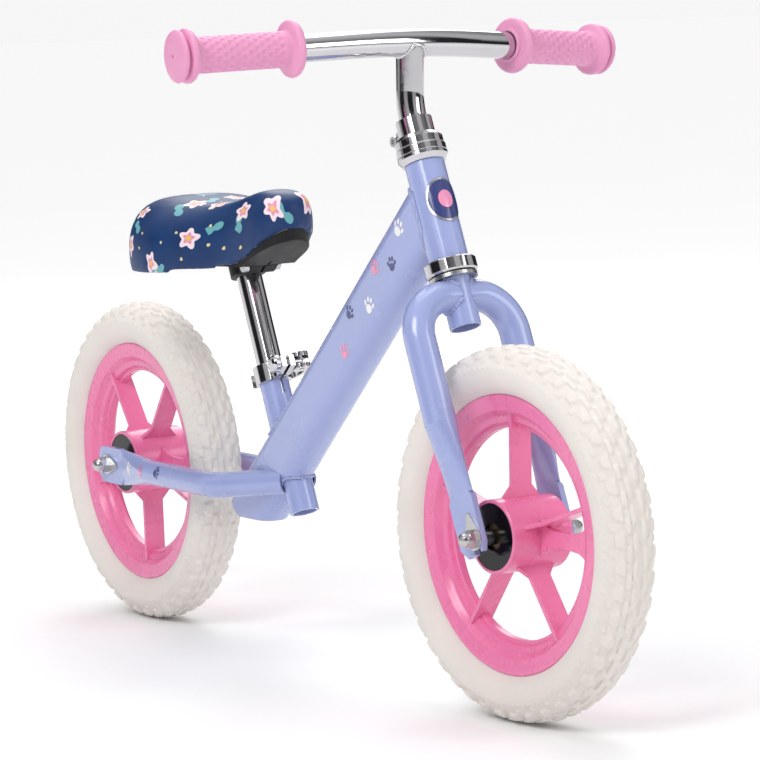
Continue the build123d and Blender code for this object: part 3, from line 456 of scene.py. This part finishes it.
def make_saddle():
    """Closed skin: crowned top, rolled shoulders, sides falling to a turned-in lower edge."""
    N, K = 96, 40
    rings = []
    for i in range(1, N):
        f = .5 - .5 * math.cos(math.pi * i / N)
        x = -232.6 + f * (232.6 - 19.4)
        w, zt, zb = curve_at(P_, x), curve_at(T_, x), curve_at(B_, x)
        end = min(1.0, (min(x + 233, -19 - x) / 22.0))
        crown = 9.0 * min(1.0, w / 60)
        ring = []
        for k in range(K + 1):
            a = math.pi * k / K          # left edge over the top to the right edge
            c, sn = math.cos(a), math.sin(a)
            e = .56
            y = w * math.copysign(abs(c) ** e, c)
            y *= 1.0 - .045 * (1 - abs(sn)) ** 2
            z = zb + 5 + (zt - zb - 5) * (abs(sn) ** .74) + crown * 0
            z -= 3.0 * (abs(c) ** 6) * 0
            z -= crown * .35 * (abs(y) / max(w, 1)) ** 2
            ring.append((x, y, z))
        # lower edge turned in, then the hollow underneath
        wi = max(w - 9.0, w * .55)
        hollow = min(348.0 if x < -110 else 348.0 + (x + 110) * .21, zt - 12)
        ring += [(x, -w * .955, zb - .5), (x, -(w * .94 + wi) / 2, zb - 1.6), (x, -wi, zb + .5), (x, -wi, hollow),
                 (x, 0, hollow), (x, wi, hollow), (x, wi, zb + .5), (x, (w * .94 + wi) / 2, zb - 1.6), (x, w * .955, zb - .5)]
        rings.append(ring)
    verts = [(a / 1000, b / 1000, c / 1000) for r in rings for a, b, c in r]
    n = len(rings[0])
    faces = []
    for i in range(len(rings) - 1):
        for k in range(n):
            l = (k + 1) % n
            faces.append((i * n + k, i * n + l, (i + 1) * n + l, (i + 1) * n + k))
    faces.append(tuple(range(n)))
    faces.append(tuple(reversed(range((len(rings) - 1) * n, len(rings) * n))))
    return make("saddle_cover", verts, faces, M["vinyl"], None, None, 80.0)


cover = make_saddle()
bpy.context.view_layer.objects.active = cover
cover.select_set(True)
rem = cover.modifiers.new("remesh", "REMESH")
rem.mode = "VOXEL"
rem.voxel_size = .004
bpy.ops.object.modifier_apply(modifier="remesh")
rest = [v.co.copy() for v in cover.data.vertices]
grp = cover.vertex_groups.new(name="hold")
for v in cover.data.vertices:
    x = v.co.x * 1000
    zb, zt = curve_at(B_, x), curve_at(T_, x)
    hgt = (v.co.z * 1000 - zb) / max(zt - zb, 1)
    inner = abs(v.co.y) * 1000 < curve_at(P_, x) - 5 and v.co.z * 1000 < zb + .62 * (zt - zb) and v.normal.z < .2
    wt = 1.0 if (hgt < .22 or inner) else 0.0
    grp.add([v.index], wt, "REPLACE")
cl = cover.modifiers.new("cloth", "CLOTH")
cs = cl.settings
cs.quality = 6
cs.mass = .3
cs.tension_stiffness = 40
cs.compression_stiffness = 40
cs.bending_stiffness = 4
cs.use_pressure = True
cs.uniform_pressure_force = 4.0
cs.vertex_group_mass = "hold"
cs.effector_weights.gravity = 0
cl.collision_settings.use_collision = False
cl.point_cache.frame_start, cl.point_cache.frame_end = 1, 20
for f in range(1, 21):
    bpy.context.scene.frame_set(f)
bpy.ops.object.modifier_apply(modifier="cloth")
for v, r in zip(cover.data.vertices, rest):
    d = v.co - r
    if d.length > .003:
        v.co = r + d * (.003 / d.length)
bpy.context.scene.frame_set(1)
sm = cover.modifiers.new("smooth", "SMOOTH")
sm.factor, sm.iterations = .5, 4
bpy.ops.object.modifier_apply(modifier="smooth")
sub = cover.modifiers.new("sub", "SUBSURF")
sub.levels = sub.render_levels = 1
bpy.ops.object.modifier_apply(modifier="sub")
me = cover.data
for p in me.polygons:
    p.use_smooth = True
attr = me.attributes.new("unrolled", "FLOAT_VECTOR", "POINT")
vals = np.zeros((len(me.vertices), 3))
for v in me.vertices:
    x = v.co.x * 1000
    down = max(0.0, curve_at(T_, x) - 8 - v.co.z * 1000) / 1000
    n2 = Vector((v.normal.x, v.normal.y))
    n2 = n2.normalized() if n2.length > 1e-6 else n2
    vals[v.index] = (v.co.x + n2.x * down, v.co.y + n2.y * down, 0)
attr.data.foreach_set("vector", vals.ravel())
give(cover, M["vinyl"])
cover.select_set(False)
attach(cover, "saddle")
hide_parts("saddle_cushion")


# ---------------------------------------------------------------- weld beads
def tree_of(name):
    me = nodes[name].data
    return BVHTree.FromPolygons([v.co.copy() for v in me.vertices], [tuple(p.vertices) for p in me.polygons])


def bead(name, origin, axis, side, radii, target, body, mat, size=.0017, sector=(0, 360), power=2.0):
    """A rippled weld where a tube of the given half sizes runs into another node."""
    tree = tree_of(target)
    axis = Vector(axis).normalized()
    side = Vector(side)
    side = (side - axis * side.dot(axis)).normalized()
    up = axis.cross(side)
    pts = []
    n = 240
    for i in range(n + 1):
        t = math.radians(sector[0] + (sector[1] - sector[0]) * i / n)
        c, s = math.cos(t), math.sin(t)
        k = (abs(c) ** power + abs(s) ** power) ** (-1 / power)
        p = Vector(origin) + side * (c * k * radii[0]) + up * (s * k * radii[1])
        hit = tree.ray_cast(p, axis, .2)
        if hit[0] is not None:
            pts.append((hit[0], hit[1]))
    if len(pts) < 20:
        return None
    closed = (sector[1] - sector[0]) >= 360 and len(pts) > n * .95
    if closed:
        pts = pts[:-1]
    # one ripple every 3 mm or so
    verts, faces, m = [], [], 10
    run = 0.0
    for i, (p, _) in enumerate(pts):
        q = pts[(i + 1) % len(pts)][0] if closed or i < len(pts) - 1 else p
        o = pts[i - 1][0] if closed or i > 0 else p
        tan = (q - o)
        if tan.length < 1e-7:
            tan = Vector((1, 0, 0))
        tan.normalize()
        run += (p - o).length
        a = tan.cross(axis)
        if a.length < 1e-6:
            a = tan.cross(side)
        a.normalize()
        b = tan.cross(a).normalized()
        r = size * (1.0 + .16 * math.sin(run / .0026 * 2 * math.pi) + .10 * noise.noise(p * 300))
        for k in range(m):
            g = 2 * math.pi * k / m
            verts.append(p + a * (math.cos(g) * r * 1.25) + b * (math.sin(g) * r))
    cnt = len(pts)
    for i in range(cnt if closed else cnt - 1):
        j = (i + 1) % cnt
        for k in range(m):
            l = (k + 1) % m
            faces.append((i * m + k, j * m + k, j * m + l, i * m + l))
    if not closed:
        faces.append(tuple(range(m)))
        faces.append(tuple(reversed(range((cnt - 1) * m, cnt * m))))
    return make(name, verts, faces, mat, body, None, 70.0)


R = lambda m, v: m.to_3x3() @ Vector(v)
bead("weld_head", MAIN @ Vector((0, 0, -.06)), R(MAIN, (0, 0, 1)), R(MAIN, (1, 0, 0)), (.0268, .0153), "head_tube", "frame", M["weld"], .0018, power=3.2)
bead("weld_seat_top", SEAT @ Vector((0, 0, .0)), R(SEAT, (0, 0, -1)), R(SEAT, (1, 0, 0)), (.0138, .0138), "main_tube", "frame", M["weld"], .0014)
bead("weld_seat_low", SEAT @ Vector((0, 0, -.1294)), R(SEAT, (0, 0, 1)), R(SEAT, (1, 0, 0)), (.0138, .0138), "main_tube", "frame", M["weld"], .0014)
bead("weld_stem", STEER @ Vector((BAR_X - math.sin(math.radians(23.6)) * .035, 0, .1765 - math.cos(math.radians(23.6)) * .035)),
     R(STEER, (math.sin(math.radians(23.6)), 0, math.cos(math.radians(23.6)))), R(STEER, (0, 1, 0)), (.0111, .0111), "handlebar", "bars", M["bright_weld"], .0013)
for side, s in (("right", -1.0), ("left", 1.0)):
    bead(f"weld_stay_{side}", (-.090, s * .0323, .1466), (.050, -s * .0335, .007), (0, 0, 1), (.0112, .0112), "main_tube", "frame", M["weld"], .0019)
    for q, (a0, a1) in enumerate(((-66, 66), (114, 246))):
        bead(f"weld_crown_{side}_{q}", STEER @ Vector((0, s * .030, -.0278)), R(STEER, (0, -s, 0)), R(STEER, (0, 0, 1)), (.0127, .0127), "steerer_tube", "fork", M["weld"], .0016, sector=(a0, a1))


# ---------------------------------------------------------------- decals and badge
def on_surface(name, target, loops, frame_at, mat, body, lift=.00018):
    """Thin shapes laid on a node: loops are 2-D outlines in frame_at's xy, dropped along its -z."""
    tree = tree_of(target)
    verts, faces = [], []
    d = R(frame_at, (0, 0, -1))
    for loop in loops:
        cx = sum(p[0] for p in loop) / len(loop)
        cy = sum(p[1] for p in loop) / len(loop)
        start = len(verts)
        rows = 5
        grid = [[(cx, cy)]] + [[(cx + (x - cx) * q / rows, cy + (y - cy) * q / rows) for x, y in loop] for q in range(1, rows + 1)]
        ok = True
        new = []
        for ring in grid:
            for x, y in ring:
                hit = tree.ray_cast(frame_at @ Vector((x, y, .05)), d, .2)
                if hit[0] is None:
                    ok = False
                    break
                nrm = hit[1] if hit[1].dot(d) < 0 else -hit[1]
                new.append(hit[0] + nrm * lift)
            if not ok:
                break
        if not ok:
            continue
        verts += new
        n = len(loop)
        for k in range(n):
            l = (k + 1) % n
            faces.append((start, start + 1 + k, start + 1 + l))
        for q in range(rows - 1):
            a, b = start + 1 + q * n, start + 1 + (q + 1) * n
            for k in range(n):
                l = (k + 1) % n
                faces.append((a + k, b + k, b + l, a + l))
    if verts:
        return make(name, verts, faces, mat, body, None, 70.0)


def oval(cx, cy, rx, ry, turn=0.0, n=28, pinch=0.0):
    out = []
    for i in range(n):
        t = 2 * math.pi * i / n
        x, y = rx * math.cos(t), ry * math.sin(t)
        y -= pinch * ry * abs(math.cos(t)) ** 2 * (1 if math.sin(t) < 0 else 0)
        out.append((cx + x * math.cos(turn) - y * math.sin(turn), cy + x * math.sin(turn) + y * math.cos(turn)))
    return out


def paw(cx, cy, size, turn):
    """A pad and four toes, in mm."""
    loops = [oval(0, -.22, .42, .34, 0, 28, -.15)]
    for tx, ty, a in ((-.52, .12, .5), (-.20, .46, .15), (.20, .46, -.15), (.52, .12, -.5)):
        loops.append(oval(tx, ty, .15, .22, a))
    c, s = math.cos(turn), math.sin(turn)
    return [[((cx + size * (x * c - y * s)) / 1000, (cy + size * (x * s + y * c)) / 1000) for x, y in l] for l in loops]


def side_frame(s):
    return frame_matrix((0, s * .02, 0), (-s, 0, 0), (0, s, 0))


for side, s in (("right", -1.0), ("left", 1.0)):
    F = frame_matrix((0, s * .02, 0), (1, 0, 0), (0, s, 0))
    # the sheet's own y runs up on the right and down on the left
    fy = (F.to_3x3() @ Vector((0, 1, 0))).z
    for i, (x, z, col, size, turn) in enumerate([
        (170.0, 375, "d_white", 11.5, -.5), (158.0, 346, "d_navy", 9.5, .2), (131.5, 342, "d_pink", 10.5, -.6),
        (121.0, 311, "d_white", 11.0, -.2), (89.5, 303.5, "d_navy", 9.5, -.7), (79.0, 271, "d_pink", 10.5, -.2)]):
        on_surface(f"paw_{side}_{i}", "main_tube", [[(a, b * 1.0) for a, b in l] for l in paw(x, z * fy, size, turn if fy > 0 else math.pi - turn)], F, M[col], "frame")
    G = frame_matrix((0, s * .06, 0), (1, 0, 0), (0, s, 0))
    for i, (x, z, col, size, turn) in enumerate([(-257.0, 146, "d_white", 8.5, -1.3), (-228.0, 146, "d_pink", 8.5, -1.3), (-196.0, 148, "d_navy", 8.0, -1.3)]):
        on_surface(f"paw_stay_{side}_{i}", f"chainstay_{side}", paw(x, z * fy, size, turn if fy > 0 else math.pi - turn), G, M[col], "frame")

# plain domed badge with a ring, on the front of the head tube
BF = sub_frame(HEAD, (0, 0, .047), (0, 1, 0), (1, 0, 0))


def shell(name, rx, ry, lift, thick, mat, dome=0.0):
    verts, faces = [], []
    rings, n = 10, 56
    for lay in range(2):
        for q in range(rings + 1):
            f = q / rings
            for k in range(n):
                t = 2 * math.pi * k / n
                x, y = rx * f * math.cos(t), ry * f * math.sin(t)
                a = x / .0159
                rad = .0159 + lift + (thick + dome * (1 - f * f) if lay == 0 else 0)
                verts.append((rad * math.sin(a), y, rad * math.cos(a)))
    off = (rings + 1) * n
    for lay in range(2):
        for q in range(rings):
            for k in range(n):
                l = (k + 1) % n
                faces.append(tuple(lay * off + v for v in (q * n + k, (q + 1) * n + k, (q + 1) * n + l, q * n + l)))
    for k in range(n):
        l = (k + 1) % n
        faces.append((rings * n + k, off + rings * n + k, off + rings * n + l, rings * n + l))
    return make(name, verts, faces, mat, "frame", BF, 35.0)


shell("badge_rim", .0150, .0180, .0, .0010, M["steel"])
shell("badge_face", .0133, .0163, .0003, .0011, M["d_navy"], .0003)
shell("badge_dot", .0058, .0072, .0010, .0009, M["d_pink"], .0002)

# ---------------------------------------------------------------- floor, light, camera
fm, fnt, fb = new_mat("floor")
fnt.links.new(ramp(fnt, noise_of(fnt, coords(fnt), 3.0, 4.0), [(.3, (.90, .90, .905)), (.7, (.92, .92, .925))]), fb.inputs["Base Color"])
fb.inputs["Roughness"].default_value = .8
# the floor is kept evenly pale far from the object
far_len = node(fnt, "ShaderNodeVectorMath", operation="LENGTH")
fnt.links.new(coords(fnt), far_len.inputs[0])
far = node(fnt, "ShaderNodeMapRange", in_1=.9, in_2=3.2, in_3=.02, in_4=.50)
fnt.links.new(far_len.outputs["Value"], far.inputs[0])
fb.inputs["Emission Color"].default_value = (1, 1, 1, 1)
fnt.links.new(far.outputs[0], fb.inputs["Emission Strength"])
ring = [(r * math.cos(2 * math.pi * k / 64), r * math.sin(2 * math.pi * k / 64), -.0004) for r in (4.0, 60.0) for k in range(64)]
quads = [(k, (k + 1) % 64, 64 + (k + 1) % 64, 64 + k) for k in range(64)] + [tuple(range(64))]
floor = make("floor", ring, quads, fm, None, None, 80.0)
floor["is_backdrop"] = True

# soft studio surroundings: bright overhead, with a few dark upright panels that chrome can show
world = bpy.data.worlds.new("world")
bpy.context.scene.world = world
world.use_nodes = True
wt = world.node_tree
bg = wt.nodes["Background"]
tc = wt.nodes.new("ShaderNodeTexCoord")
sep = wt.nodes.new("ShaderNodeSeparateXYZ")
wt.links.new(tc.outputs["Generated"], sep.inputs[0])
up_ramp = wt.nodes.new("ShaderNodeValToRGB")
mr = wt.nodes.new("ShaderNodeMapRange")
mr.inputs[1].default_value, mr.inputs[2].default_value = -1.0, 1.0
wt.links.new(sep.outputs[2], mr.inputs[0])
els = up_ramp.color_ramp.elements
els[0].position, els[0].color = 0.50, (.55, .55, .56, 1)
els[1].position, els[1].color = 0.95, (1, 1, 1, 1)
wt.links.new(mr.outputs[0], up_ramp.inputs[0])
an = wt.nodes.new("ShaderNodeMath")
an.operation = "ARCTAN2"
wt.links.new(sep.outputs[1], an.inputs[0])
wt.links.new(sep.outputs[0], an.inputs[1])
mu = wt.nodes.new("ShaderNodeMath")
mu.operation = "MULTIPLY_ADD"
mu.inputs[1].default_value, mu.inputs[2].default_value = 5.0, 1.3
wt.links.new(an.outputs[0], mu.inputs[0])
sn = wt.nodes.new("ShaderNodeMath")
sn.operation = "SINE"
wt.links.new(mu.outputs[0], sn.inputs[0])
br = wt.nodes.new("ShaderNodeValToRGB")
br.color_ramp.elements[0].position, br.color_ramp.elements[0].color = 0.05, (.05, .05, .055, 1)
br.color_ramp.elements[1].position, br.color_ramp.elements[1].color = 0.45, (1, 1, 1, 1)
wt.links.new(sn.outputs[0], br.inputs[0])
hz = wt.nodes.new("ShaderNodeMix")
hz.data_type = "RGBA"
hz.inputs[6].default_value = (1, 1, 1, 1)
hm = wt.nodes.new("ShaderNodeMapRange")
hm.inputs[1].default_value, hm.inputs[2].default_value = 0.85, 0.45
wt.links.new(sep.outputs[2], hm.inputs[0])
wt.links.new(hm.outputs[0], hz.inputs["Factor"])
wt.links.new(br.outputs[0], hz.inputs[7])
mx = wt.nodes.new("ShaderNodeMix")
mx.data_type = "RGBA"
mx.blend_type = "MULTIPLY"
mx.inputs["Factor"].default_value = 1.0
wt.links.new(up_ramp.outputs[0], mx.inputs[6])
wt.links.new(hz.outputs[2], mx.inputs[7])
lp = wt.nodes.new("ShaderNodeLightPath")
seen = wt.nodes.new("ShaderNodeMix")
seen.data_type = "RGBA"
wt.links.new(lp.outputs["Is Camera Ray"], seen.inputs["Factor"])
wt.links.new(mx.outputs[2], seen.inputs[6])
seen.inputs[7].default_value = (1.32, 1.32, 1.33, 1)
wt.links.new(seen.outputs[2], bg.inputs[0])
bg.inputs[1].default_value = .70


def area(name, loc, target, size, power, shape_y=None):
    li = bpy.data.lights.new(name, "AREA")
    li.shape = "RECTANGLE"
    li.size, li.size_y = size, shape_y or size
    li.energy = power
    ob = bpy.data.objects.new(name, li)
    ob.location = loc
    ob.rotation_euler = (Vector(target) - Vector(loc)).to_track_quat("-Z", "Y").to_euler()
    bpy.context.scene.collection.objects.link(ob)
    return ob


area("key", (1.0, -2.0, 2.2), (0, 0, .25), 1.3, 40)
area("fill", (2.6, 1.4, 1.4), (0, 0, .25), 1.3, 20)
area("top", (-.6, .3, 2.6), (0, 0, .25), 2.0, 24)
area("back", (-2.2, 1.6, 2.2), (0, 0, .25), 1.6, 26)

cam_data = bpy.data.cameras.new("camera")
cam = bpy.data.objects.new("camera", cam_data)
bpy.context.scene.collection.objects.link(cam)
cam_data.sensor_width = 36.0
cam_data.lens = 36.0 * 3448.34 / 760.0
fw = Vector((-.85069273, .51396466, -.11028239))
rt = Vector((.5204562, .85297773, -.03942508))
upv = Vector((-.07380532, .09093579, .99311805))
m = Matrix((rt, upv, -fw)).transposed().to_4x4()
m.translation = Vector((2.78866 - .305, -1.43666, .55675))
cam.matrix_world = m
cam_data.clip_end = 60
scene = bpy.context.scene
scene.camera = cam
scene.render.resolution_x = scene.render.resolution_y = 760
scene.view_settings.view_transform = "Standard"

size_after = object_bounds()


def plain(v):
    if isinstance(v, dict):
        return {k: plain(x) for k, x in v.items()}
    if hasattr(v, "__len__") and not isinstance(v, str):
        return [plain(x) for x in v]
    return float(v)


{"cad": plain(size_before), "visual": plain(size_after)}
